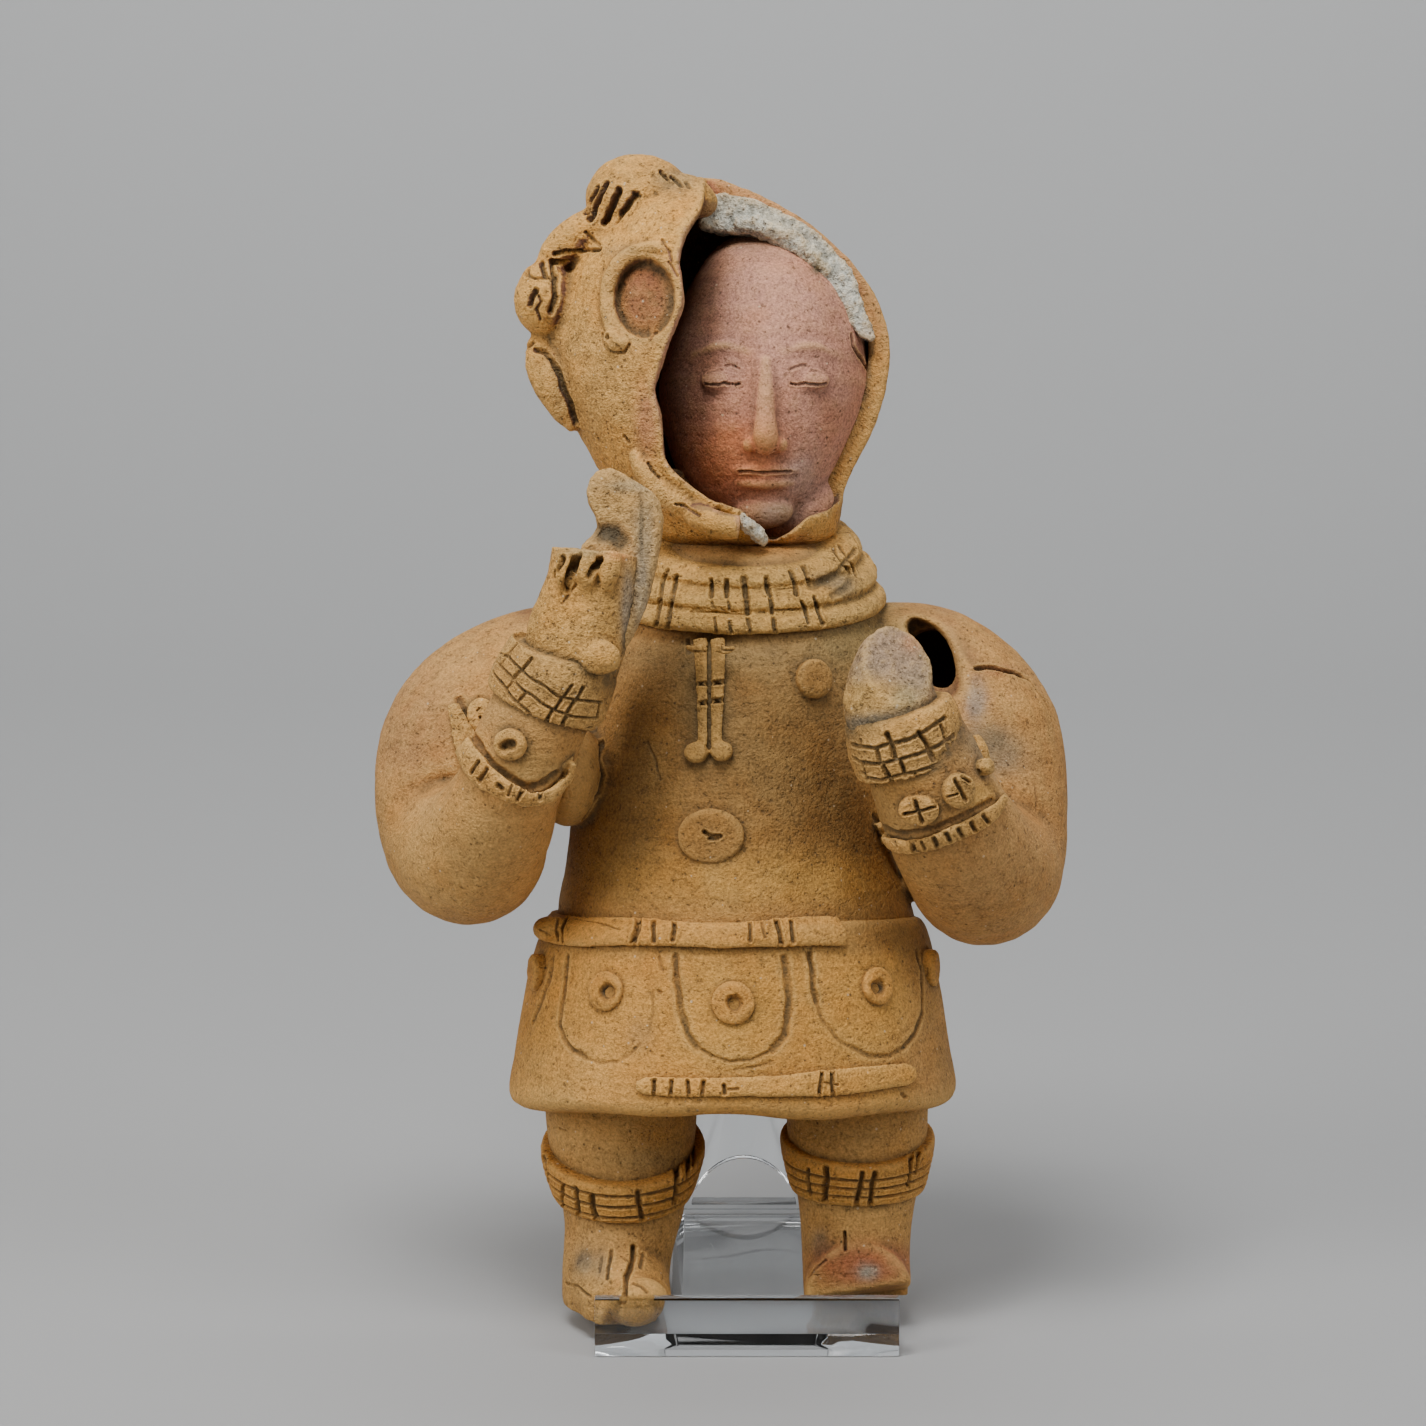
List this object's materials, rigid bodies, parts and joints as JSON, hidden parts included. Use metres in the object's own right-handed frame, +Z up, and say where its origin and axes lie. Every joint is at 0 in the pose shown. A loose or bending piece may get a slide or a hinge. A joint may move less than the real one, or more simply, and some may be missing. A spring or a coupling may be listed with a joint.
{
  "type": "pottery figurine",
  "caption": "Hollow fired-clay standing figure in a skirt, with a broken helmet mask over an inner face, raised forearms, leaning on a clear acrylic easel.",
  "frame": {"origin": "on the easel's flat underside, under the front of the figure's soles", "axes": "+Z up, -Y the way the figure faces, +X towards the figure's own left hand"},
  "size_m": [0.1787, 0.127, 0.2966],
  "materials": {
    "unglazed_ochre_clay": "unglazed fired clay, ochre, with dirt in its grooves",
    "clear_acrylic": "clear polished acrylic sheet"
  },
  "bodies": {
    "root": {"figurine": "unglazed_ochre_clay", "easel": "clear_acrylic"}
  },
  "joints": []
}
